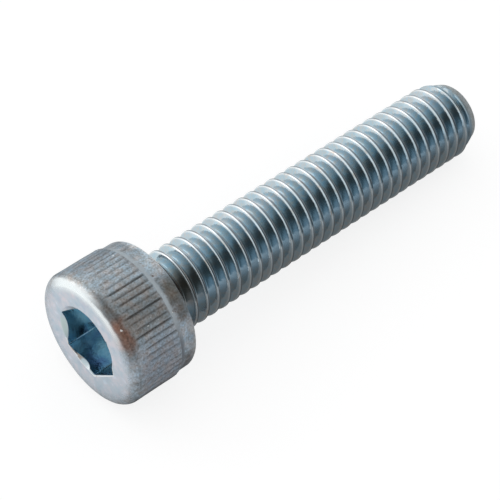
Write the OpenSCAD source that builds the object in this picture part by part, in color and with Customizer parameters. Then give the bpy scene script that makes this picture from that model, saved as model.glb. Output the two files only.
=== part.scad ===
// Hex socket cap screw, M6 x 30, threaded up to the head, lying on its side.
// Millimetres, +Z up. The screw rests on two ridges of its knurled head and on the last
// full crest of its thread, so its axis falls from the head towards the point.

/* [Thread] */
// Nominal diameter across the thread crests
thread_d = 6; // [5:0.1:8]
// Distance from one crest to the next
pitch = 1; // [0.8:0.05:1.25]
// Length under the head, from the bearing face to the point
length = 30.4; // [16:0.2:40]
// Hand of the helix: -1 is left-hand, 1 is the common right-hand
thread_hand = -1; // [-1, 1]
// Distance from the bearing face to the first crest on the underside
first_crest = 0.45; // [0:0.01:0.99]
// Flat sides round one turn of the thread
turn_sides = 36; // [24:2:40]

/* [Head] */
// Height of the head above the bearing face
head_h = 5.7; // [5:0.1:8]
// Diameter over the knurl ridges
knurl_d = 10.22; // [10.1:0.04:10.9]
// Number of knurl ridges round the head
knurl_count = 64; // [48:2:80]
// Depth of the grooves between the ridges
knurl_depth = 0.16; // [0.12:0.01:0.3]
// How far the ridges stand out past the plain collar below them
rim_step = 0.15; // [0.1:0.01:0.2]
// Height of the plain collar above the bearing face
collar_h = 1.15; // [0.8:0.05:2]
// Length of the smooth shoulder between the collar and the ridges
rim_h = 0.4; // [0.2:0.05:0.6]
// Radius of the soft front edge of the head
front_edge_r = 0.75; // [0.3:0.05:1]
// Radius at the edge of the bearing face
bearing_edge_r = 0.4; // [0.1:0.05:0.5]
// Radius of the fillet between the bearing face and the neck
neck_r = 0.4; // [0.35:0.05:0.6]

/* [Socket] */
// Width of the hexagon across its flats
socket_af = 5; // [3.5:0.1:5.5]
// Depth of the hexagon's walls from the front face
socket_depth = 3.1; // [2:0.1:3.6]
// Depth of the shallow cone in the socket's floor
floor_cone_h = 0.3; // [0.2:0.05:0.8]
// Turning of the socket about the axis, degrees
socket_turn = 46; // [0:1:60]
// How far the mouth chamfer reaches past the hexagon's corners
mouth_margin = 0.04; // [0:0.02:0.3]
// Angle between the mouth chamfer and the axis, degrees
mouth_angle = 50; // [40:1:60]

/* [Point] */
// Diameter of the flat end of the point
point_d = 4.6; // [3.6:0.1:5]
// Length of the taper from the last full crest to the end
point_h = 1.7; // [1:0.1:2.5]
// Radius where the taper meets the flat end
point_edge_r = 0.35; // [0.1:0.05:0.4]

/* [Hidden] */

steel = [0.68, 0.73, 0.78];
round_sides = 96;
arc_steps = 6;

// Thread form: 60 degree flanks, a crest an eighth of the pitch wide and a narrow root
flank_angle = 30;
crest_half = pitch/16;
thread_depth = 0.6134*pitch;
root_half = pitch/2 - crest_half - thread_depth*tan(flank_angle);
crest_r = thread_d/2;
root_r = crest_r - thread_depth;
// The plain neck under the head stands this far below the crests, near the pitch line
neck_foot_r = crest_r - 0.3*pitch;
// Length over which the neck runs out into the root, and how far below the root it ends
runout_h = 0.6*pitch;
neck_sink = 0.06;
// How far the shank reaches into the head
shank_sink = pitch/2;
// Rings of the thread start this far inside the head and end this far past the point
lead_in = 2*pitch;
turns = ceil((length + 2*lead_in)/pitch);
last_step = turns*turn_sides;

// Head
knurl_r = knurl_d/2;
collar_r = knurl_r - rim_step;
groove_r = knurl_r - knurl_depth;
knurl_step = 360/knurl_count;
// The grooves' outline stands this far past the ridges, which leaves each a flat land
knurl_land = 0.12;
// The shoulder rises by this share of the step; the ridges end a little above it, on a slope
shoulder_share = 0.6;
shoulder_end = collar_h + rim_h;
ridge_end = shoulder_end + 0.05;
// How far one body of the head reaches into the next
sink = 0.1;

// Socket
socket_r = socket_af/2/cos(30);
mouth_r = socket_r + mouth_margin;
mouth_h = (mouth_r - socket_af/2)/tan(mouth_angle);
// Flat rim between the floor's cone and the middle of each wall
floor_rim = 0.15;
// How far a cutting body passes the face that it cuts
overcut = 1;

// Point
point_r = point_d/2;
taper_angle = atan2(crest_r - point_r, point_h);

// Lying pose: a line that touches the lower ends of two ridges and the last full crest,
// which is a flat side there
taper_start = length - point_h;
rest_crest = first_crest + pitch*floor((taper_start - crest_half - first_crest)/pitch) + crest_half;
ridge_across = knurl_r*cos(knurl_step/2);
crest_across = crest_r*cos(180/turn_sides);
lie_tilt = atan2(ridge_across - crest_across, rest_crest + ridge_end);
axis_h = ridge_across*cos(lie_tilt) - ridge_end*sin(lie_tilt);
front_x = -(head_h - front_edge_r)*cos(lie_tilt) - (knurl_r - front_edge_r)*sin(lie_tilt) - front_edge_r;
point_x = length*cos(lie_tilt) + point_r*sin(lie_tilt);
centre_x = (front_x + point_x)/2;

// Points of a round edge about a centre, from one angle to another
function arc(centre, r, from, to) =
    [for (i = [0:arc_steps]) let (a = from + (to - from)*i/arc_steps) centre + r*[cos(a), sin(a)]];

// Thread ring points: where a right-hand thread stands at a step of its helix. The steps
// lie half a side off the axis directions, so a flat side faces straight down.
ring_offsets = [-pitch/2 + root_half, -crest_half, crest_half, pitch/2 - root_half];
ring_radii = [root_r, crest_r, crest_r, root_r];
band_count = len(ring_offsets);

function thread_point(step, band) =
    let (turn = (step + 1/2)/turn_sides,
         a = 360*turn,
         z = pitch*turn + first_crest - lead_in + ring_offsets[band])
    [ring_radii[band]*cos(a), ring_radii[band]*sin(a), z];

function corner(step, band) = step*band_count + band;

// The four sides of one patch of the thread, as two triangles
function patch(a, b, c, d) = [[a, b, c], [a, c, d]];

module thread_rod() {
    rings = [for (step = [0:last_step], band = [0:band_count - 1]) thread_point(step, band)];
    start_tip = len(rings);
    end_tip = start_tip + 1;
    top = band_count - 1;
    first_open = last_step - turn_sides;
    ridge = [for (step = [0:last_step - 1], band = [0:top - 1]) each
        patch(corner(step, band), corner(step, band + 1), corner(step + 1, band + 1), corner(step + 1, band))];
    root = [for (step = [0:first_open - 1]) each
        patch(corner(step, top), corner(step + turn_sides, 0),
              corner(step + turn_sides + 1, 0), corner(step + 1, top))];
    start_loop = concat([for (step = [0:turn_sides]) corner(step, 0)],
                        [for (band = [top:-1:1]) corner(0, band)]);
    end_loop = concat([for (step = [last_step:-1:first_open]) corner(step, top)],
                      [for (band = [0:top - 1]) corner(last_step, band)]);
    start_cap = [for (i = [0:len(start_loop) - 1])
        [start_tip, start_loop[i], start_loop[(i + 1) % len(start_loop)]]];
    end_cap = [for (i = [0:len(end_loop) - 1])
        [end_tip, end_loop[i], end_loop[(i + 1) % len(end_loop)]]];
    ends = [[0, 0, -lead_in - pitch], [0, 0, turns*pitch - lead_in + 2*pitch]];
    polyhedron(points = concat(rings, ends), faces = concat(ridge, root, start_cap, end_cap), convexity = 10);
}

// Outer limit of the threaded part: wide of the crests, with the taper of the point
module shank_limit() {
    clear = pitch;
    rotate_extrude($fn = round_sides)
        polygon(concat(
            [[0, -shank_sink]],
            [[crest_r + clear, -shank_sink]],
            [[crest_r + clear, taper_start - clear/tan(taper_angle)]],
            arc([point_r - point_edge_r*tan(45 - taper_angle/2), length - point_edge_r],
                point_edge_r, taper_angle, 90),
            [[0, length]]));
}

module threaded_shank() {
    intersection() {
        if (thread_hand < 0)
            mirror([0, 1, 0])
                thread_rod();
        else
            thread_rod();
        shank_limit();
    }
}

// Neck: a fillet from the bearing face, then a cone that runs out into the thread's root
module neck() {
    rotate_extrude($fn = round_sides)
        polygon(concat(
            [[0, -shank_sink], [neck_foot_r + neck_r, -shank_sink]],
            arc([neck_foot_r + neck_r, neck_r], neck_r, 270, 180),
            [[root_r - neck_sink, neck_r + runout_h]],
            [[0, neck_r + runout_h]]));
}

// Star outline of the straight knurl; the blank below trims its ridges to a flat land.
// A groove faces straight down.
module knurl_prism() {
    translate([0, 0, -head_h - overcut])
        linear_extrude(head_h + overcut)
            polygon([for (i = [0:2*knurl_count - 1])
                let (r = i % 2 == 0 ? groove_r : knurl_r + knurl_land, a = i*knurl_step/2)
                [r*cos(a), r*sin(a)]]);
}

// Round body of the knurled part, with the soft front edge and the slope that ends the ridges
module knurled_blank() {
    foot_z = -collar_h - sink/2;
    rotate_extrude($fn = round_sides)
        polygon(concat(
            [[0, -head_h]],
            arc([knurl_r - front_edge_r, front_edge_r - head_h], front_edge_r, 270, 360),
            [[knurl_r, -ridge_end], [collar_r - sink, foot_z], [0, foot_z]]));
}

// Plain collar with the smooth shoulder that carries the lower ends of the ridges
module collar() {
    rotate_extrude($fn = round_sides)
        polygon(concat(
            [[0, -shoulder_end], [collar_r + shoulder_share*rim_step, -shoulder_end], [collar_r, -collar_h]],
            arc([collar_r - bearing_edge_r, -bearing_edge_r], bearing_edge_r, 0, 90),
            [[0, 0]]));
}

module head_body() {
    intersection() {
        knurled_blank();
        knurl_prism();
    }
    collar();
}

module socket() {
    rotate(socket_turn) {
        translate([0, 0, -head_h - overcut])
            cylinder(h = socket_depth + overcut, r = socket_r, $fn = 6);
    }
    cone_r = socket_af/2 - floor_rim;
    translate([0, 0, -head_h + socket_depth])
        rotate_extrude($fn = round_sides)
            polygon([[0, -sink], [cone_r, -sink], [cone_r, 0], [0, floor_cone_h]]);
    translate([0, 0, -head_h])
        cylinder(h = mouth_h, r1 = mouth_r, r2 = socket_af/2, $fn = round_sides);
}

module cap_screw() {
    color(steel)
        translate([-centre_x, 0, axis_h])
            rotate([0, 90 + lie_tilt, 0]) {
                difference() {
                    head_body();
                    socket();
                }
                neck();
                threaded_shank();
            }
}

cap_screw();
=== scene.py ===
import math

import bmesh
import bpy
import numpy as np
from mathutils import Matrix, Vector, noise


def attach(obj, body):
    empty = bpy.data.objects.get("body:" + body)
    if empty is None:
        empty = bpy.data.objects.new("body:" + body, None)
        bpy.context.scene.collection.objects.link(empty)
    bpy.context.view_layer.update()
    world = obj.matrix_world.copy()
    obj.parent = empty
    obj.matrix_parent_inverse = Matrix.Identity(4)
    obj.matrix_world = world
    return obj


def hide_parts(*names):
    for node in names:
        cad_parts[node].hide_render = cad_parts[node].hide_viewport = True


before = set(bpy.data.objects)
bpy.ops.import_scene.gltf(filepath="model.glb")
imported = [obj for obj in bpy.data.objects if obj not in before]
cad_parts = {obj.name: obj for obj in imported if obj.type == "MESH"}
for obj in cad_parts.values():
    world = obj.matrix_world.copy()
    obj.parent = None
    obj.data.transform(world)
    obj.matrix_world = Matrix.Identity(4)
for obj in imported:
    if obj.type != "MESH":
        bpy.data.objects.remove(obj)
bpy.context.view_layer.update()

MM = 0.001

# Sizes of the screw, in millimetres, as in the part's source
THREAD_R = 3.0
PITCH = 1.0
LENGTH = 30.4
HAND = -1
FIRST_CREST = 0.45
TURN_SIDES = 36
HEAD_H = 5.7
KNURL_R = 5.11
KNURL_COUNT = 64
KNURL_DEPTH = 0.16
COLLAR_R = 4.96
COLLAR_H = 1.15
SHOULDER_END = 1.55
SHOULDER_R = 5.05
RIDGE_END = 1.6
FRONT_EDGE_R = 0.75
BEARING_EDGE_R = 0.4
NECK_FOOT_R = 2.7
NECK_FILLET_R = 0.4
NECK_SINK = 0.06
RUNOUT_H = 0.6 * PITCH
SOCKET_AF = 5.0
SOCKET_DEPTH = 3.1
FLOOR_CONE_H = 0.3
FLOOR_RIM = 0.15
SOCKET_TURN = 46.0
POINT_R = 2.3
POINT_H = 1.7
POINT_EDGE_R = 0.35
ROOT_R = THREAD_R - 0.6134 * PITCH

# The socket's mouth as the photograph shows it: a little oval and off the axis, and steep and
# wide on one side. Lengths in millimetres, directions and widths in degrees round the axis.
MOUTH_R = 2.75
MOUTH_SHIFT = 0.20
MOUTH_SHIFT_AT = 152.0
MOUTH_OVAL = 0.04
MOUTH_OVAL_AT = 241.0
MOUTH_LEAST = 0.05
MOUTH_SLOPE = math.tan(math.radians(50))
STEEP_SLOPE = math.tan(math.radians(28))
STEEP_AT = -2.0
STEEP_WIDTH = 30.0
STEEP_REACH = 0.16
STEEP_REACH_WIDTH = 22.0
# How far a fillet cuts the hexagon's corners short
CORNER_CUT = 0.02

# Turn from an azimuth as seen in the photograph to the screw's own frame, degrees
SEEN_TURN = 122.685
# Wear of the knurl: least at a seen azimuth, greater on both sides of it, none at the back
WORN_LEAST_AT = 85.0
WORN_WIDTH = 34.0
WORN_END = 150.0
WORN_END_WIDTH = 40.0
WORN_SHARE = 0.65
# Height at which the grooves of the knurl start, and the length over which they deepen
GROOVE_START = -5.25
GROOVE_FADE = 0.9
# Unevenness of the skin: heights in millimetres, each with its waves to a millimetre
UNEVEN = ((0.010, 0.7), (0.006, 2.3))

# Lying pose, as in the part's source
CREST_ACROSS = THREAD_R * math.cos(math.pi / TURN_SIDES)
RIDGE_ACROSS = KNURL_R * math.cos(math.pi / KNURL_COUNT)
TAPER_START = LENGTH - POINT_H
CREST_HALF = PITCH / 16
FULL_TURNS = math.floor((TAPER_START - CREST_HALF - FIRST_CREST) / PITCH)
REST_CREST = FIRST_CREST + PITCH * FULL_TURNS + CREST_HALF
TILT = math.atan2(RIDGE_ACROSS - CREST_ACROSS, REST_CREST + RIDGE_END)
AXIS_H = RIDGE_ACROSS * math.cos(TILT) - RIDGE_END * math.sin(TILT)
FRONT_X = (-(HEAD_H - FRONT_EDGE_R) * math.cos(TILT)
           - (KNURL_R - FRONT_EDGE_R) * math.sin(TILT) - FRONT_EDGE_R)
POINT_X = LENGTH * math.cos(TILT) + POINT_R * math.sin(TILT)
CENTRE_X = (FRONT_X + POINT_X) / 2

# Samples round the head and round the thread
HEAD_SIDES = KNURL_COUNT * 6
THREAD_SIDES = HEAD_SIDES // 3
# Samples across one ridge of the knurl, in shares of its step, and how far each rises
RIDGE_AT = (-0.04, 0.04, 0.21, 0.31, 0.69, 0.79)
RIDGE_RISE = (0.0, 0.0, 0.9, 1.0, 1.0, 0.9)
# Samples across one pitch, in pitches from the crest and with their radii; then how much painted
# highlight each takes at the crest's edge, and how deep it lies in the fold of the rolled crest,
# for painted shade there
PROFILE = ((-0.475, 2.395), (-0.43, 2.455), (-0.36, 2.575), (-0.27, 2.731), (-0.20, 2.852),
           (-0.16, 2.915), (-0.12, 2.965), (-0.08, 2.99), (-0.04, 3.0), (0.005, 2.97),
           (0.05, 3.0), (0.10, 2.945), (0.20, 2.763), (0.40, 2.42), (0.47, 2.387))
CREST_HIGHLIGHT_SHARE = (0, 0, 0, 0, 0, 0.2, 1, 0.3, 0, 0, 0.3, 0, 0, 0, 0)
FOLD_SHADE_WEIGHT = (0, 0, 0, 0, 0, 0, 0, 0, 0.35, 1, 0.7, 0.2, 0, 0, 0)
# Radius at which the rings of the socket meet those of the head, on the flat front face
FACE_R = 3.9


def place(points):
    """Points in the screw's own frame (millimetres) to the row frame (metres)."""
    c, s = math.cos(TILT), math.sin(TILT)
    x, y, z = np.asarray(points, float).T
    return np.stack([z * c - x * s - CENTRE_X, y, AXIS_H - z * s - x * c], 1) * MM


class Skin:
    """Collects rings of points and the faces between them."""

    def __init__(self):
        self.points, self.faces, self.count = [], [], 0

    def ring(self, points):
        start = self.count
        self.points.append(np.asarray(points, float))
        self.count += len(points)
        return np.arange(start, self.count)

    def join(self, a, b):
        """Faces between two rings of the same count."""
        n = len(a)
        for i in range(n):
            j = (i + 1) % n
            self.faces.append((a[i], a[j], b[j], b[i]))

    def fan(self, tip, ring):
        """Faces between a point and a ring round it."""
        n = len(ring)
        for i in range(n):
            self.faces.append((tip, ring[i], ring[(i + 1) % n]))


def round_ring(skin, angles, radii, z):
    radii = np.broadcast_to(radii, angles.shape)
    z = np.broadcast_to(z, angles.shape)
    return skin.ring(np.stack([radii * np.cos(angles), radii * np.sin(angles), z], 1))


def arc(cr, cz, r, start, end, steps):
    """(radius, z) points of a round edge, the angle measured from outward towards the point."""
    for i in range(steps + 1):
        t = math.radians(start + (end - start) * i / steps)
        yield cr + r * math.cos(t), cz + r * math.sin(t)


def hex_radius(angles):
    """Distance from the axis to the hexagon's wall, with a small fillet in its corners."""
    side = np.radians((np.degrees(angles) - SOCKET_TURN) % 60 - 30)
    corner = SOCKET_AF / 2 / math.cos(math.radians(30))
    return np.minimum(SOCKET_AF / 2 / np.cos(side), corner - CORNER_CUT)


def mouth_size(angles):
    """Edge radius and depth of the chamfer at the socket's mouth."""
    reach = (MOUTH_R + MOUTH_SHIFT * np.cos(angles - math.radians(MOUTH_SHIFT_AT))
             + MOUTH_OVAL * np.cos(2 * (angles - math.radians(MOUTH_OVAL_AT))))
    hexagon = hex_radius(angles)
    from_steep = (np.degrees(angles) - STEEP_AT + 180) % 360 - 180
    reach = reach + STEEP_REACH * np.exp(-(from_steep / STEEP_REACH_WIDTH) ** 2)
    edge = np.maximum(reach, hexagon + MOUTH_LEAST)
    steep = np.exp(-(from_steep / STEEP_WIDTH) ** 2)
    return edge, (edge - hexagon) / (MOUTH_SLOPE + (STEEP_SLOPE - MOUTH_SLOPE) * steep)


def socket_rings(skin):
    """From the tip of the socket's floor to the flat front face."""
    angles = np.arange(HEAD_SIDES) * 2 * math.pi / HEAD_SIDES + math.radians(SOCKET_TURN)
    hexagon = hex_radius(angles)
    mouth, depth = mouth_size(angles)
    floor = SOCKET_DEPTH - HEAD_H
    rim = SOCKET_AF / 2 - FLOOR_RIM
    lip = depth - HEAD_H
    wall_start = 0.06
    tip = skin.ring([[0, 0, floor + FLOOR_CONE_H]])[0]
    rings = []
    for k in (0.25, 0.5, 0.75, 0.97):
        rings.append(round_ring(skin, angles, rim * k, floor + FLOOR_CONE_H * (1 - k)))
    rings.append(round_ring(skin, angles, rim, floor))
    for back, up in ((wall_start, 0), (0.018, 0.018), (0, wall_start)):
        rings.append(round_ring(skin, angles, hexagon - back, floor - up))
    for k in (0.2, 0.45, 0.7, 0.9):
        rise = (lip - floor + wall_start) * k
        rings.append(round_ring(skin, angles, hexagon, floor - wall_start + rise))
    for below in (0.02, 0.0):
        rings.append(round_ring(skin, angles, hexagon, lip + below))
    for k in (0.15, 0.5, 0.85):
        rings.append(round_ring(skin, angles, hexagon + (mouth - hexagon) * k, lip - depth * k))
    for k, down in ((0.005, 0.002), (0.03, 0.0), (0.06, 0.0), (0.3, 0.0), (0.7, 0.0)):
        rings.append(round_ring(skin, angles, mouth + (FACE_R - mouth) * k, down - HEAD_H))
    skin.fan(tip, rings[0])
    for a, b in zip(rings, rings[1:]):
        skin.join(a, b)
    return rings[-1]


def knurl_angles():
    """Angles of the samples round the head, and how far each rises from groove to ridge."""
    step = 2 * math.pi / KNURL_COUNT
    base = (np.arange(KNURL_COUNT)[:, None] + np.array(RIDGE_AT)[None]) * step
    rise = np.tile(np.array(RIDGE_RISE), KNURL_COUNT)
    return base.ravel(), rise


def head_profile():
    """(radius, z, knurled) of the head from the front face to the bearing face."""
    yield FACE_R, -HEAD_H, False
    top = FRONT_EDGE_R - HEAD_H
    rows = 14
    for radius, z in arc(KNURL_R - FRONT_EDGE_R, top, FRONT_EDGE_R, -90, 0, rows):
        yield radius, z, True
    for i in range(1, rows + 1):
        yield KNURL_R, top + (-RIDGE_END - top) * i / rows, True
    yield SHOULDER_R + 0.01, -SHOULDER_END - 0.004, True
    yield SHOULDER_R, -SHOULDER_END + 0.01, False
    for i in (1, 2, 3):
        yield (SHOULDER_R + (COLLAR_R - SHOULDER_R) * i / 3,
               -SHOULDER_END + (SHOULDER_END - COLLAR_H) * i / 3, False)
    for i in (1, 2, 3):
        yield COLLAR_R, -COLLAR_H + (COLLAR_H - BEARING_EDGE_R) * i / 3, False
    rounding = list(arc(COLLAR_R - BEARING_EDGE_R, -BEARING_EDGE_R, BEARING_EDGE_R, 0, 90, 8))
    for radius, z in rounding[1:]:
        yield radius, z, False
    yield 4.2, 0.0, False
    yield 3.6, 0.0, False


def head_rings(skin, inner):
    """From the flat front face over the knurl and the collar to the bearing face."""
    angles, rise = knurl_angles()
    first = int(round(SOCKET_TURN * HEAD_SIDES / 360))
    groove = np.roll(np.arange(HEAD_SIDES) // len(RIDGE_AT), -first)
    angles = np.unwrap(np.roll(angles, -first))
    rise = np.roll(rise, -first)
    random = np.random.default_rng(7)
    seen = (np.degrees(angles) - SEEN_TURN - WORN_LEAST_AT + 180) % 360 - 180
    ahead = np.clip((WORN_END - np.abs(seen)) / WORN_END_WIDTH, 0, 1)
    knurl_wear_and_rim_highlight = (1 - np.exp(-(seen / WORN_WIDTH) ** 2)) * ahead
    uneven_depth = random.uniform(0.4, 1.0, KNURL_COUNT)[groove]
    uneven_start = random.uniform(0.1, 1.1, KNURL_COUNT)[groove]
    depth = KNURL_DEPTH * (1 - WORN_SHARE * knurl_wear_and_rim_highlight) * uneven_depth
    start = GROOVE_START + (0.2 + 0.9 * knurl_wear_and_rim_highlight) * uneven_start
    before = inner
    for radius, z, knurled in head_profile():
        fade = np.clip((z - start) / GROOVE_FADE, 0, 1)
        ridge = KNURL_R - depth * (1 - rise) * fade * fade * (3 - 2 * fade)
        radii = np.minimum(radius, ridge) if knurled else np.full(angles.shape, radius)
        ring = round_ring(skin, angles, radii, z)
        skin.join(before, ring)
        before = ring
    return before, angles


def limit_radius(z):
    """Largest radius at a height: the taper of the point, and no limit before it."""
    slope = (THREAD_R - POINT_R) / POINT_H
    return np.where(z > TAPER_START, THREAD_R - (z - TAPER_START) * slope, 10.0)


def neck_radius(z):
    """Smallest radius at a height: the fillet under the head and its run-out."""
    inside = np.clip(NECK_FILLET_R ** 2 - np.clip(NECK_FILLET_R - z, 0, None) ** 2, 0, None)
    fillet = NECK_FOOT_R + NECK_FILLET_R - np.sqrt(inside)
    runout = NECK_FOOT_R - (z - NECK_FILLET_R) * (NECK_FOOT_R - ROOT_R + NECK_SINK) / RUNOUT_H
    return np.where(z < NECK_FILLET_R, fillet, runout)


def round_point(r, z):
    """Bends the surface past the end of the taper over the point's edge and across its end."""
    slope = math.atan2(THREAD_R - POINT_R, POINT_H)
    arc_start = LENGTH - POINT_EDGE_R * (1 - math.sin(slope))
    centre_r = POINT_R - POINT_EDGE_R * math.tan(math.pi / 4 - slope / 2)
    along = (z - arc_start) / POINT_EDGE_R
    theta = slope + np.clip(along, 0, math.pi / 2 - slope)
    past = np.clip(along - (math.pi / 2 - slope), 0, None) * POINT_EDGE_R
    r = np.where(z > arc_start, np.minimum(r, centre_r + POINT_EDGE_R * np.cos(theta)), r)
    r = np.where(past > 0, np.clip(centre_r - past, 0.0, None), r)
    return r, np.where(z > arc_start, LENGTH - POINT_EDGE_R + POINT_EDGE_R * np.sin(theta), z)


def thread_rings(skin):
    """The helical surface from the bearing face to the end of the point, as one strip."""
    offsets = np.array([o for o, _ in PROFILE]) * PITCH
    radii = np.array([r for _, r in PROFILE])
    end_reach = POINT_R + 1.0
    turns = int(math.ceil(LENGTH + end_reach)) + 3
    steps = turns * THREAD_SIDES
    turn = np.arange(steps + 1) / THREAD_SIDES
    z = PITCH * turn[:, None] + FIRST_CREST - 2 * PITCH + offsets[None, :]
    r = np.broadcast_to(radii, z.shape).copy()
    a = np.broadcast_to((HAND * 2 * math.pi * turn)[:, None], z.shape)
    r = np.maximum(r, neck_radius(z))
    r = np.minimum(r, limit_radius(z))
    r, height = round_point(r, z)
    height = np.where(height <= 0, 0.0, height)
    r = np.where(z <= 0, NECK_FOOT_R + NECK_FILLET_R, r)
    points = np.stack([r * np.cos(a), r * np.sin(a), height], 2).reshape(-1, 3)
    ids = skin.ring(points).reshape(steps + 1, len(PROFILE))
    low, high = z <= 0, r <= 0
    n = len(PROFILE)
    for i in range(steps):
        for j in range(n):
            if j < n - 1:
                q = ((i, j), (i, j + 1), (i + 1, j + 1), (i + 1, j))
            elif i + THREAD_SIDES + 1 <= steps:
                q = ((i, j), (i + THREAD_SIDES, 0), (i + THREAD_SIDES + 1, 0), (i + 1, j))
            else:
                continue
            if all(low[k] for k in q) or all(high[k] for k in q):
                continue
            face = tuple(int(ids[k]) for k in q)
            skin.faces.append(face[::-1] if HAND > 0 else face)


def build_screw():
    """The whole skin of the screw as one mesh in the row frame."""
    skin = Skin()
    inner = socket_rings(skin)
    outer, angles = head_rings(skin, inner)
    base = np.arange(THREAD_SIDES) * 2 * math.pi / THREAD_SIDES
    apart = (base - angles[1] + math.pi) % (2 * math.pi) - math.pi
    first = int(np.argmin(np.abs(apart)))
    order = (first + np.arange(THREAD_SIDES)) % THREAD_SIDES
    neck = round_ring(skin, base[order], NECK_FOOT_R + NECK_FILLET_R, 0.0)
    for i in range(THREAD_SIDES):
        j = (i + 1) % THREAD_SIDES
        a, b, c, d = (outer[(3 * i + k) % HEAD_SIDES] for k in range(4))
        skin.faces += [(a, b, neck[i]), (b, c, neck[i]), (c, neck[j], neck[i]), (c, d, neck[j])]
    thread_rings(skin)
    points = np.concatenate(skin.points)
    mesh = bpy.data.meshes.new("screw_body")
    faces = [tuple(int(k) for k in face) for face in skin.faces]
    mesh.from_pydata(place(points).tolist(), [], faces)
    return mesh


def roughen(mesh):
    """Moves the points in and out by about a hundredth of a millimetre, as on a plated part."""
    for vertex, normal in zip(mesh.vertices, [n.vector.copy() for n in mesh.vertex_normals]):
        at = vertex.co / MM
        shift = sum(height * noise.noise(at * waves) for height, waves in UNEVEN)
        vertex.co += normal * shift * MM


def clean(mesh):
    """Merges the points that meet, turns the faces outward and shades the mesh smooth."""
    bm = bmesh.new()
    bm.from_mesh(mesh)
    bmesh.ops.remove_doubles(bm, verts=bm.verts, dist=2e-7)
    bmesh.ops.dissolve_degenerate(bm, edges=bm.edges, dist=1e-8)
    loose = [v for v in bm.verts if not v.link_faces]
    bmesh.ops.delete(bm, geom=loose, context="VERTS")
    bmesh.ops.recalc_face_normals(bm, faces=bm.faces)
    open_edges = sum(1 for e in bm.edges if len(e.link_faces) != 2)
    volume = round(bm.calc_volume() / MM ** 3, 1)
    print("screw mesh:", len(bm.verts), "points", len(bm.faces), "faces", open_edges,
          "open edges, volume mm3", volume)
    bm.to_mesh(mesh)
    bm.free()
    mesh.shade_smooth()
    mesh.set_sharp_from_angle(angle=math.radians(38))
    roughen(mesh)


mesh = build_screw()
clean(mesh)
screw = bpy.data.objects.new("screw_body", mesh)
bpy.context.scene.collection.objects.link(screw)


class Graph:
    """Short way to write the nodes of a material or of the world."""

    def __init__(self, tree):
        self.tree = tree
        tree.nodes.clear()

    def node(self, kind, inputs=None, **settings):
        """A node, with each input linked to a socket or set to a value."""
        n = self.tree.nodes.new(kind)
        for key, value in settings.items():
            setattr(n, key, value)
        for key, value in (inputs or {}).items():
            if isinstance(value, bpy.types.NodeSocket):
                self.tree.links.new(value, n.inputs[key])
            else:
                n.inputs[key].default_value = value
        return n

    def math(self, operation, a, b=0.0):
        return self.node("ShaderNodeMath", {0: a, 1: b}, operation=operation).outputs[0]

    def product(self, a, b):
        return self.math("MULTIPLY", a, b)

    def vector(self, operation, a, b=(0, 0, 0)):
        return self.node("ShaderNodeVectorMath", {0: a, 1: b}, operation=operation).outputs[0]

    def dot(self, a, b):
        n = self.node("ShaderNodeVectorMath", {0: a, 1: b}, operation="DOT_PRODUCT")
        return n.outputs["Value"]

    def rescale(self, value, low, high, start=0.0, end=1.0, kind="LINEAR"):
        """A value between low and high, mapped to between start and end."""
        inputs = {0: value, 1: low, 2: high, 3: start, 4: end}
        return self.node("ShaderNodeMapRange", inputs, interpolation_type=kind).outputs[0]

    def mix(self, factor, a, b, blend="MIX"):
        """Mix of two colours."""
        n = self.node("ShaderNodeMix", {0: factor, 6: a, 7: b}, data_type="RGBA", blend_type=blend)
        return n.outputs[2]

    def ramp(self, factor, stops):
        """Colour by a factor, from (position, colour) stops."""
        n = self.node("ShaderNodeValToRGB", {0: factor})
        while len(n.color_ramp.elements) < len(stops):
            n.color_ramp.elements.new(0.5)
        for e, (position, colour) in zip(n.color_ramp.elements, stops):
            e.position = position
            e.color = (*colour, 1)
        return n.outputs[0]

    def shader(self, kind, inputs):
        return self.node(kind, inputs).outputs[0]


def new_material(name):
    material = bpy.data.materials.new(name)
    material.use_nodes = True
    return material, Graph(material.node_tree)


# Stains on the head, with painted reflections and shade among them: azimuth as seen, half width,
# heights from and to, strength; then the tone
HEAD_STAINS_AND_REFLECTIONS = (
    ((25, 26, -5.3, -1.7, 0.6), (0.30, 0.36, 0.42)),
    ((-3, 9, -5.3, -1.7, 0.8), (0.16, 0.19, 0.20)),
    ((57, 20, -5.3, -1.7, 0.65), (0.56, 0.61, 0.65)),
    ((95, 22, -5.2, -1.7, 0.6), (0.26, 0.26, 0.25)),
    ((126, 14, -5.6, 0.3, 0.75), (0.46, 0.53, 0.60)),
    ((152, 28, -4.9, -1.7, 0.6), (0.28, 0.30, 0.35)),
    ((176, 7, -5.4, 0.0, 0.8), (0.11, 0.12, 0.13)),
    ((92, 24, -5.9, -4.95, 0.9), (0.16, 0.15, 0.14)),
    ((100, 12, -5.9, -4.95, 0.9), (0.27, 0.15, 0.11)),
    ((40, 16, -5.5, -5.0, 0.8), (0.62, 0.64, 0.64)),
    ((56, 14, -1.15, 0.3, 0.8), (0.60, 0.66, 0.70)),
    ((90, 9, -1.0, 0.3, 0.9), (0.16, 0.15, 0.13)),
    ((107, 7, -1.0, 0.3, 0.85), (0.15, 0.14, 0.13)),
    ((36, 14, -1.0, 0.3, 0.5), (0.27, 0.31, 0.35)),
    ((160, 8, -1.2, -0.5, 0.7), (0.13, 0.13, 0.14)),
    ((150, 25, -0.5, 0.3, 0.6), (0.27, 0.23, 0.21)),
    ((48, 20, -0.32, 0.5, 0.9), (0.85, 0.88, 0.90)),
    ((141, 16, -0.32, 0.5, 0.8), (0.56, 0.57, 0.56)),
    ((107, 6, -0.25, 0.5, 0.8), (0.28, 0.32, 0.34)),
)
# The same for the thread, with the softness of the ends where it isn't the common one; the two
# long bands are painted reflections, the patch by the head a stain
THREAD_STAINS_AND_REFLECTIONS = (
    ((92, 10, -0.2, 40.0, 0.35), (0.44, 0.40, 0.35)),
    ((120, 17, -0.2, 40.0, 0.8), (0.66, 0.80, 0.90)),
    ((98, 26, -0.2, 2.4, 0.7, 0.6), (0.40, 0.29, 0.22)),
)
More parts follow.
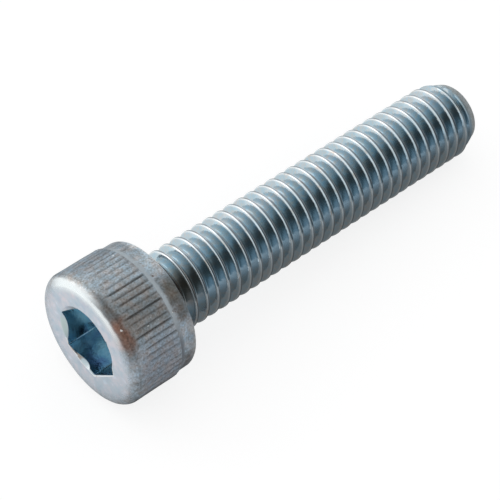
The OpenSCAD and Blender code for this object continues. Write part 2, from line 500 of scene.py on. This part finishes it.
# The same for the chamfer of the socket's mouth: stains, with painted reflections and a near-black
# painted shade
MOUTH_STAINS_AND_REFLECTIONS = (
    ((313, 16, -9.0, 0.0, 0.9), (0.50, 0.58, 0.56)),
    ((238, 15, -9.0, 0.0, 0.9), (0.74, 0.79, 0.80)),
    ((262, 6, -9.0, 0.0, 0.9), (0.45, 0.34, 0.27)),
    ((275, 8, -9.0, 0.0, 0.9), (0.03, 0.03, 0.03)),
)
# Where the front rim and the shoulder catch the light, painted as a highlight and a sheen: as
# above, with softness and rough edge
RIM_HIGHLIGHT = ((36, 26, -9.0, -5.42, 0.95, 0.13, 0.5), (56, 40, -9.0, -5.60, 0.8, 0.06, 0.2))
SHOULDER_SHEEN_PATCH = (70, 42, -2.5, 0.5, 1.0)

# Tones of each zone, by stops of a noise
THREAD_TONES = ((0.35, (0.50, 0.60, 0.65)), (0.65, (0.57, 0.63, 0.67)))
FACE_TONES = ((0.32, (0.47, 0.54, 0.60)), (0.5, (0.56, 0.58, 0.63)), (0.68, (0.66, 0.62, 0.65)))
KNURL_TONES = ((0.33, (0.26, 0.28, 0.30)), (0.5, (0.35, 0.38, 0.41)), (0.67, (0.45, 0.50, 0.55)))
POINT_TONES = ((0.36, (0.42, 0.41, 0.38)), (0.5, (0.50, 0.52, 0.52)), (0.64, (0.60, 0.64, 0.66)))
# Inside the socket: bluer zinc with a teal tint, the tint a painted reflection
SOCKET_TONES_AND_REFLECTIONS = ((0.36, (0.35, 0.44, 0.58)), (0.46, (0.40, 0.58, 0.66)), (0.62, (0.56, 0.67, 0.71)))
# On the crests' edges, the socket's corners and the mouth's edge, a painted highlight: near white,
# going brown
CREST_HIGHLIGHT_TONES = ((0.36, (0.94, 0.96, 0.98)), (0.6, (0.90, 0.88, 0.86)), (0.68, (0.72, 0.58, 0.48)))
# Factors of a tone: light and dark grains, warm and cold patches, faint patches
SPECKLE = ((0.34, (0.55, 0.50, 0.46)), (0.46, (0.92, 0.90, 0.88)), (0.54, (1.0, 1.04, 1.08)),
           (0.66, (1.35, 1.40, 1.45)))
HUES = ((0.36, (1.22, 0.98, 0.84)), (0.46, (1.06, 1.0, 0.96)), (0.54, (0.95, 1.02, 1.05)),
        (0.64, (0.84, 1.02, 1.12)))
PALE = ((0.34, (0.90, 0.92, 0.96)), (0.48, (0.98, 1.0, 1.0)), (0.60, (1.05, 1.0, 1.0)),
        (0.68, (1.12, 1.13, 1.15)))
GROOVE_DARK = (0.085, 0.073, 0.065, 1)
# The shoulder's chamfer in painted shade, and in a painted sheen where it faces the light
SHOULDER_SHADE = (0.20, 0.22, 0.25, 1)
SHOULDER_SHEEN = (0.53, 0.59, 0.63, 1)
# Near white: a painted highlight on the front rim, and the bright chips of bare metal on the knurl
HIGHLIGHT_AND_BARE_METAL = (0.93, 0.94, 0.93, 1)
# Painted shade in the fold along the top of each crest
FOLD_SHADE = (0.13, 0.11, 0.11, 1)
RUST_SPECK = (0.12, 0.08, 0.06, 1)


def zinc():
    """Zinc-plated steel: bright on the thread, stained on the head, with painted highlights,
    reflections and shade.
    """
    material, g = new_material("zinc_plated_steel")
    own = g.node("ShaderNodeAttribute", attribute_name="own").outputs["Vector"]
    z = g.node("ShaderNodeSeparateXYZ", {0: own}).outputs[2]
    outward = g.vector("NORMALIZE", g.vector("MULTIPLY", own, (1, 1, 0)))
    along = g.vector("MULTIPLY", own, (1, 1, 0.12))

    def zone(name):
        return g.node("ShaderNodeAttribute", attribute_name=name).outputs["Fac"]

    def noise_at(scale, detail=4.0, vector=own):
        inputs = {"Vector": vector, "Scale": scale, "Detail": detail}
        return g.node("ShaderNodeTexNoise", inputs).outputs[0]

    def between(value, low, high):
        return g.rescale(value, low, high, kind="SMOOTHSTEP")

    def patch(azimuth, spread, start, end, strength, soft=0.3, rough_edge=1.2):
        """A patch of colour round an azimuth and between two heights, with ragged soft edges, for
        stains and for painted highlights, reflections and shade.
        """
        turn = math.radians(azimuth + SEEN_TURN)
        facing = g.dot(outward, (math.cos(turn), math.sin(turn), 0))
        ragged = g.product(g.math("SUBTRACT", blotch, 0.5), rough_edge)
        facing = g.math("ADD", facing, g.product(ragged, 0.004 * spread))
        ragged_z = g.math("ADD", z, ragged)
        outer, inner = math.radians(spread * 1.6), math.radians(spread * 0.4)
        side = between(facing, math.cos(outer), math.cos(inner))
        body = g.product(between(ragged_z, start - soft, start + soft),
                         between(ragged_z, end + soft, end - soft))
        return g.product(g.product(side, body), strength)

    def tint(colour, factor, stops, strength):
        """Multiplies a colour by lighter and darker tones."""
        return g.mix(strength, colour, g.ramp(factor, stops), "MULTIPLY")

    cloud = noise_at(0.42)
    blotch = noise_at(1.1)
    fine = noise_at(3.5)
    grain = noise_at(7.0, 3.0)
    streak = noise_at(3.2, 3.0, along)

    # Thread, then the head's face over it
    colour = tint(g.ramp(cloud, THREAD_TONES), fine, HUES, 0.5)
    # Painted reflections along the thread, a dark band and a light blue one, and a stain over the
    # first turns
    for where, tone in THREAD_STAINS_AND_REFLECTIONS:
        colour = g.mix(patch(*where), colour, (*tone, 1))
    face = tint(g.ramp(blotch, FACE_TONES), noise_at(1.9), PALE, 1.0)
    colour = g.mix(zone("head"), colour, face)

    # Knurl, shoulder and collar, with the painted highlight on the front rim
    knurl = g.ramp(streak, KNURL_TONES)
    # Stains, and painted reflections and shade, on the knurl, the collar and the front rounding
    for where, tone in HEAD_STAINS_AND_REFLECTIONS:
        knurl = g.mix(patch(*where), knurl, (*tone, 1))
    # Darker towards the bottom of each groove of the knurl
    knurl = g.mix(g.product(zone("groove"), 0.75), knurl, GROOVE_DARK)
    knurl = tint(knurl, grain, SPECKLE, 0.65)
    knurl = tint(knurl, noise_at(1.6), HUES, 0.45)
    # Painted sheen on the shoulder's chamfer where it faces the light, painted shade on the rest
    # of it
    shoulder_sheen_and_shade = g.mix(patch(*SHOULDER_SHEEN_PATCH), SHOULDER_SHADE, SHOULDER_SHEEN)
    knurl = g.mix(g.product(zone("shoulder"), between(blotch, 0.30, 0.50)), knurl, shoulder_sheen_and_shade)
    colour = g.mix(zone("knurl"), colour, knurl)
    # Painted highlight: the front rim near white where it faces the light
    knurl_wear_and_rim_highlight = g.math("MAXIMUM", *[patch(*where) for where in RIM_HIGHLIGHT])
    knurl_wear_and_rim_highlight = g.product(zone("rim"), knurl_wear_and_rim_highlight)
    colour = g.mix(knurl_wear_and_rim_highlight, colour, HIGHLIGHT_AND_BARE_METAL)

    # Mouth, point, socket and crests, with painted reflections, shade and highlights
    # Stains, painted reflections and a painted shade on the mouth's chamfer
    for where, tone in MOUTH_STAINS_AND_REFLECTIONS:
        colour = g.mix(g.product(zone("mouth"), patch(*where)), colour, (*tone, 1))
    colour = g.mix(zone("point"), colour, g.ramp(grain, POINT_TONES))
    # Inside the socket, tones with a teal tint that is a painted reflection
    colour = g.mix(zone("socket"), colour, g.ramp(noise_at(0.9), SOCKET_TONES_AND_REFLECTIONS))
    # Painted highlights on the crests' edges, in the socket's corners and on the mouth's edge
    colour = g.mix(zone("edge"), colour, g.ramp(blotch, CREST_HIGHLIGHT_TONES))
    # Painted shade in the fold along each crest
    colour = g.mix(g.product(zone("lap"), 0.75), colour, FOLD_SHADE)

    # Dark specks and bright chips on the knurl
    specks = g.product(between(noise_at(2.6, 1.0), 0.74, 0.79), zone("knurl"))
    colour = g.mix(g.product(specks, 0.7), colour, RUST_SPECK)
    chips = g.product(between(noise_at(3.3, 1.0), 0.75, 0.79), zone("knurl"))
    colour = g.mix(g.product(chips, 0.8), colour, HIGHLIGHT_AND_BARE_METAL)

    dull = g.product(zone("knurl"), g.math("SUBTRACT", 1.0, knurl_wear_and_rim_highlight))
    dull = g.math("MAXIMUM", dull, g.product(zone("point"), 0.6))
    metallic = g.math("SUBTRACT", 1.0, g.product(dull, 0.8))
    mottle = g.product(g.math("SUBTRACT", blotch, 0.5), 0.25)
    roughness = g.math("ADD", g.math("ADD", g.product(zone("matt"), 0.53), 0.08), mottle)
    height = g.math("ADD", g.product(fine, 0.7), g.product(grain, 0.3))
    bump = g.node("ShaderNodeBump", {"Height": height, "Strength": 0.5, "Distance": 0.02 * MM})
    skin = g.shader("ShaderNodeBsdfPrincipled", {
        "Base Color": colour, "Metallic": metallic, "Specular IOR Level": 0.2,
        "Roughness": roughness, "Normal": bump.outputs[0]})
    g.node("ShaderNodeOutputMaterial", {0: skin})
    return material


def own_place(mesh):
    """Each point's distance from the axis and place along it, in millimetres, and its turn
    about the axis, in turns from straight down."""
    co = np.zeros(len(mesh.vertices) * 3)
    mesh.vertices.foreach_get("co", co)
    x, y, z = co.reshape(-1, 3).T / MM
    x, z = x + CENTRE_X, z - AXIS_H
    c, s = math.cos(TILT), math.sin(TILT)
    down = -x * s - z * c
    return np.hypot(down, y), x * c - z * s, np.arctan2(y, down) / (2 * math.pi)


# How far a point may lie from the edge of a zone and still belong to it, millimetres
NEAR = 0.01
# Height at which the front rounding starts to count as knurl
FRONT_END = -5.3
# Painted highlight along each corner of the hexagon: half width in degrees, and length
CORNER_HIGHLIGHT_WIDTH = 0.3
CORNER_HIGHLIGHT_LENGTH = 2.8
# Direction in which the edge of the mouth carries a painted highlight
MOUTH_HIGHLIGHT_AT = math.radians(345)


def paint_zones(mesh):
    """Stores each point's place in the screw's own frame, and the zones on which it lies."""
    r, z, turn = own_place(mesh)
    angle = 2 * math.pi * turn
    hexagon = hex_radius(angle)
    mouth_r, depth = mouth_size(angle)
    lip = depth - HEAD_H

    inside = (r < hexagon + NEAR) & (z < SOCKET_DEPTH - HEAD_H + FLOOR_CONE_H + NEAR)
    socket = inside & (z > lip + NEAR)
    corner = (np.degrees(angle) - SOCKET_TURN + 30) % 60 - 30
    # A painted highlight along each corner of the hexagon
    corner_highlight = socket & (np.abs(corner) < CORNER_HIGHLIGHT_WIDTH) & (z < lip + CORNER_HIGHLIGHT_LENGTH)
    at_mouth = (z < lip + 0.005) & (r < mouth_r + 0.02) & (r > hexagon + 0.005)
    # A painted highlight along the outer edge of the mouth, on one side
    mouth_highlight = ((z < lip + 0.02) & (r > mouth_r - 0.02) & (r < mouth_r + 0.045)
                   & (np.cos(angle - MOUTH_HIGHLIGHT_AT) > 0.3))

    front = (z < -HEAD_H + FRONT_EDGE_R) & (z < FRONT_END)
    knurl = np.where(front, np.interp(r, (4.05, 4.9), (0, 1)), r > 4)
    knurl = np.where((z < 0.02) & ~inside, knurl, 0)
    knurl = np.where(mouth_highlight, 0.6, knurl)
    rim = np.where(front, np.interp(r, (4.15, 4.45, 4.98, 5.09), (0, 1, 1, 0)), 0)
    side = (z > -HEAD_H + 0.5) & (z < -RIDGE_END + NEAR) & (r > 4.5)
    groove = np.where(side, np.clip((KNURL_R - r) / KNURL_DEPTH * 1.6, 0, 1), 0)
    shoulder = np.where(r > 4, np.interp(z, (-1.62, -1.54, -1.3, -1.15), (0, 1, 0.8, 0)), 0)

    cut = ((z > TAPER_START) & (r > limit_radius(z) - 0.02)) | (z > LENGTH - POINT_EDGE_R)
    offset = (z - FIRST_CREST) / PITCH - HAND * turn
    offset = offset - np.floor(offset + 0.5)
    at = [o for o, _ in PROFILE]
    on_thread = (z > 0.15) & ~cut & (r > 2.3)
    # Painted highlights: on the crests' edges, in the socket's corners, and on the mouth's edge
    edge = np.where(on_thread, np.interp(offset, at, CREST_HIGHLIGHT_SHARE), 0)
    edge = np.maximum(edge, np.maximum(corner_highlight, mouth_highlight))

    matt = np.select([socket, side, z < -HEAD_H + 0.5, z < 0.01], [0.1, 0.9, 0.6, 0.8], 0.0)
    matt = np.where(cut, 0.9, matt)
    matt = np.maximum(matt, 0.4 * edge)
    matt = np.where(rim > 0.5, 0.35, matt)

    own = np.stack([r * np.cos(angle), r * np.sin(angle), z], 1).astype(np.float32)
    mesh.attributes.new("own", "FLOAT_VECTOR", "POINT").data.foreach_set("vector", own.ravel())
    zones = {
        "matt": matt,
        "socket": socket,
        "head": (z < -SHOULDER_END + 0.05) & ~inside,
        "knurl": knurl,
        "rim": rim,
        "mouth": at_mouth & ~mouth_highlight,
        "point": np.interp(z, (LENGTH - 0.9, LENGTH - 0.5), (0, 1)),
        "shoulder": shoulder,
        "groove": groove,
        "edge": edge,
        # How deep in the crest's fold, for the painted shade there
        "lap": np.where(on_thread, np.interp(offset, at, FOLD_SHADE_WEIGHT), 0),
    }
    for name, values in zones.items():
        stored = mesh.attributes.new(name, "FLOAT", "POINT")
        stored.data.foreach_set("value", values.astype(np.float32))


paint_zones(mesh)
screw.data.materials.append(zinc())
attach(screw, "root")
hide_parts("cap_screw")


# The studio's light by closeness to its bright side, low behind the screw
BRIGHT_SIDE = (-0.397, 0.852, 0.342)
STUDIO = ((-1.0, (0.24, 0.29, 0.32)), (-0.85, (0.19, 0.25, 0.28)), (-0.65, (0.07, 0.10, 0.11)),
          (-0.3, (0.07, 0.10, 0.12)), (-0.05, (0.12, 0.17, 0.20)), (0.2, (0.29, 0.39, 0.44)),
          (0.35, (0.38, 0.48, 0.53)), (0.5, (0.50, 0.59, 0.64)), (0.74, (0.76, 0.84, 0.88)),
          (0.84, (0.92, 0.96, 0.99)), (1.0, (1.2, 1.2, 1.2)))
# A weaker light over the head: its direction, the closeness at its edge and core, its level
SIDE_LIGHT = (-0.785, -0.366, 0.5)
SIDE_EDGE, SIDE_CORE = 0.7, 0.98
SIDE_LEVEL = 0.3
# The light that falls on dull surfaces, the same from all sides
EVEN_LIGHT = (0.70, 0.70, 0.70, 1)
WHITE = (1, 1, 1, 1)
# The floor: half its width (metres), its tone for the light, and its tone and glow as seen
FLOOR_HALF = 1.5
FLOOR_TONE = 0.8
SEEN_FLOOR_TONE = 0.3
SEEN_GLOW = 0.80
# The floor as the metal mirrors it, by its place across the screw (metres): a glow with a painted
# shadow, dark on the camera's side of the screw and bright behind it
MIRRORED = ((-0.06, 0.42), (-0.025, 0.34), (-0.01, 0.22), (-0.002, 0.19), (0.002, 0.45),
            (0.006, 0.85), (0.015, 0.95), (0.04, 0.95))
MIRRORED_HUE = (0.93, 0.98, 1.0)
# Before the head (metres), the mirrored floor shifts by as much and grows brighter
HEAD_FLOOR_START, HEAD_FLOOR_END = -0.016, -0.026
HEAD_FLOOR_SHIFT = 0.016
HEAD_FLOOR_RISE = 9.0


def make_floor():
    """A wide sheet of white paper, with its own tones for the camera and for the metal."""
    h = FLOOR_HALF
    floor_mesh = bpy.data.meshes.new("floor")
    floor_mesh.from_pydata([(-h, -h, 0), (h, -h, 0), (h, h, 0), (-h, h, 0)], [], [(0, 1, 2, 3)])
    floor = bpy.data.objects.new("floor", floor_mesh)
    bpy.context.scene.collection.objects.link(floor)
    material, g = new_material("floor_paper")
    paths = g.node("ShaderNodeLightPath").outputs
    seen = g.math("MAXIMUM", paths["Is Camera Ray"], paths["Is Transmission Ray"])
    darker = g.product(seen, FLOOR_TONE - SEEN_FLOOR_TONE)
    paper = g.shader("ShaderNodeBsdfDiffuse", {"Color": g.math("SUBTRACT", FLOOR_TONE, darker)})
    glow_inputs = {"Color": WHITE, "Strength": g.product(seen, SEEN_GLOW)}
    glow = g.shader("ShaderNodeEmission", glow_inputs)
    both = g.shader("ShaderNodeAddShader", {0: paper, 1: glow})
    here = g.node("ShaderNodeTexCoord").outputs["Object"]
    here = g.node("ShaderNodeSeparateXYZ", {0: here}).outputs
    before = g.rescale(here[0], HEAD_FLOOR_START, HEAD_FLOOR_END, 0.0, HEAD_FLOOR_SHIFT)
    start, end = MIRRORED[0][0], MIRRORED[-1][0]
    along = g.rescale(g.math("ADD", here[1], before), start, end)
    stops = [((p - start) / (end - start), [v * hue for hue in MIRRORED_HUE]) for p, v in MIRRORED]
    level = g.math("ADD", g.product(before, HEAD_FLOOR_RISE), 1.0)
    # The floor as the metal mirrors it glows, with the screw's shadow painted into the glow
    mirrored = g.shader("ShaderNodeEmission", {"Color": g.ramp(along, stops), "Strength": level})
    mix = g.shader("ShaderNodeMixShader", {0: paths["Is Glossy Ray"], 1: both, 2: mirrored})
    g.node("ShaderNodeOutputMaterial", {0: mix})
    floor_mesh.materials.append(material)


def make_world():
    """A pale studio that is bright behind the screw and dark on the camera's side."""
    world = bpy.data.worlds.new("studio")
    bpy.context.scene.world = world
    world.use_nodes = True
    g = Graph(world.node_tree)
    towards = g.node("ShaderNodeTexCoord").outputs["Generated"]
    level = g.math("ADD", g.product(g.dot(towards, BRIGHT_SIDE), 0.5), 0.5)
    tone = g.ramp(level, [((closeness + 1) / 2, colour) for closeness, colour in STUDIO])
    side = g.rescale(g.dot(towards, SIDE_LIGHT), SIDE_EDGE, SIDE_CORE, 0.0, SIDE_LEVEL,
                     "SMOOTHSTEP")
    tone = g.mix(side, tone, WHITE, "ADD")
    paths = g.node("ShaderNodeLightPath").outputs
    tone = g.mix(paths["Is Diffuse Ray"], tone, EVEN_LIGHT)
    light = g.shader("ShaderNodeBackground", {"Color": tone, "Strength": 1.0})
    white = g.shader("ShaderNodeBackground", {"Color": WHITE, "Strength": 1.0})
    clear = g.math("MAXIMUM", paths["Is Camera Ray"], paths["Is Transmission Ray"])
    mix = g.shader("ShaderNodeMixShader", {0: clear, 1: light, 2: white})
    g.node("ShaderNodeOutputWorld", {0: mix})


def area_light(name, location, target, size, energy):
    data = bpy.data.lights.new(name, "AREA")
    data.shape = "RECTANGLE"
    data.size, data.size_y = size
    data.energy = energy
    light = bpy.data.objects.new(name, data)
    bpy.context.scene.collection.objects.link(light)
    light.location = location
    direction = Vector(target) - Vector(location)
    light.rotation_euler = direction.to_track_quat("-Z", "Y").to_euler()


# Camera: place (metres), turn and tip (degrees) and lens, fitted to the photograph's outline,
# crests and hexagon
CAMERA_AT = (-0.061314, -0.064489, 0.108115)
CAMERA_TURN = -42.1032
CAMERA_TIP = 39.6558
CAMERA_LENS = 136.206


def make_camera():
    data = bpy.data.cameras.new("camera")
    camera = bpy.data.objects.new("camera", data)
    bpy.context.scene.collection.objects.link(camera)
    data.sensor_width = 36.0
    data.lens = CAMERA_LENS
    data.clip_start = 0.005
    camera.matrix_world = (Matrix.Translation(CAMERA_AT)
                           @ Matrix.Rotation(math.radians(CAMERA_TURN), 4, "Z")
                           @ Matrix.Rotation(math.radians(CAMERA_TIP), 4, "X"))
    bpy.context.scene.camera = camera


make_floor()
make_world()
area_light("softbox", (-0.16, 0.34, 0.24), (0, 0, 0), (0.25, 0.25), 0.12)
make_camera()
bpy.context.scene.view_settings.view_transform = "Standard"
